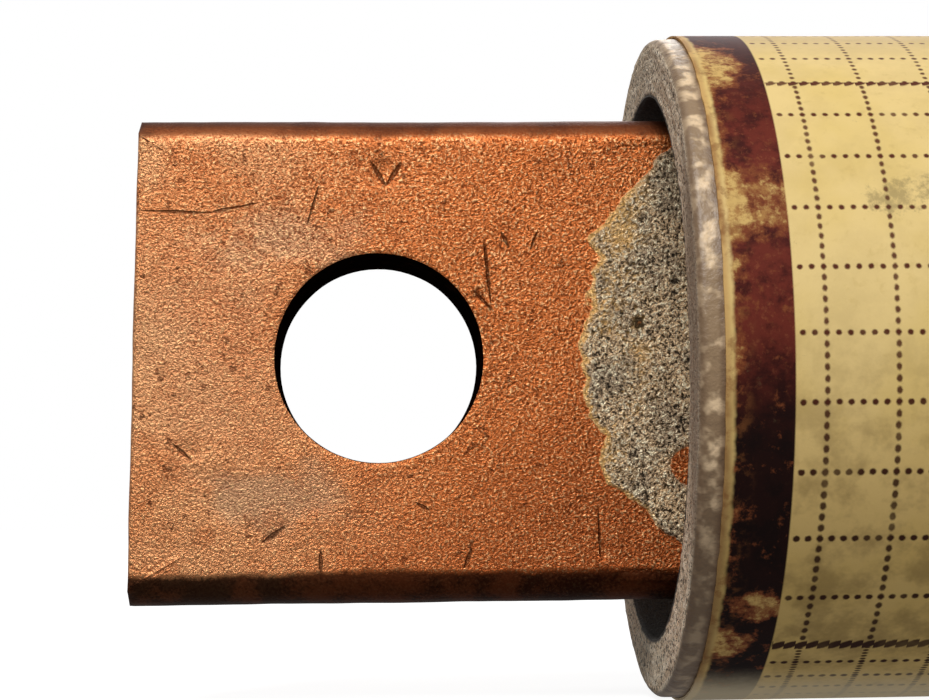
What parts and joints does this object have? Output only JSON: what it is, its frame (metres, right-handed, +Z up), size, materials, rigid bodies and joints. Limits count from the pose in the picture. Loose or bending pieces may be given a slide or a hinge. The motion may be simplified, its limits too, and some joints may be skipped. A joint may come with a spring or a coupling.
{
  "type": "cartridge fuse",
  "caption": "Cylindrical cartridge fuse with a labelled laminate tube and a flat copper blade with a bolt hole brazed into each end.",
  "frame": {"origin": "middle of the body, on the tube's axis", "axes": "+X along the fuse towards the right blade, -Y out of the blades' front broad faces, +Z up across the blades' width"},
  "size_m": [0.1086, 0.0352, 0.0352],
  "materials": {
    "laminate": "glass cloth laminate, satin outside, rough cut ends",
    "label_paper": "printed paper, cream with a dark end band and a dotted grid",
    "copper": "tumbled and tarnished copper",
    "braze": "dull grainy braze",
    "brass": "turned brass",
    "pin_steel": "drawn steel",
    "fibre": "vulcanised fibre",
    "silver": "rolled silver strip",
    "tin": "dull tin",
    "quartz_sand": "packed quartz sand"
  },
  "bodies": {
    "root": {"casing_tube": "laminate", "paper_label": "label_paper", "left_blade": "copper", "right_blade": "copper", "left_braze": "braze", "right_braze": "braze", "left_end_bell": "brass", "right_end_bell": "brass", "left_retaining_pins": "pin_steel", "right_retaining_pins": "pin_steel", "left_gasket": "fibre", "right_gasket": "fibre", "element_1": "silver", "element_2": "silver", "element_3": "silver", "element_4": "silver", "tin_overlay_1": "tin", "tin_overlay_2": "tin", "tin_overlay_3": "tin", "tin_overlay_4": "tin", "sand_filler": "quartz_sand", "fill_plug": "pin_steel"}
  },
  "joints": []
}
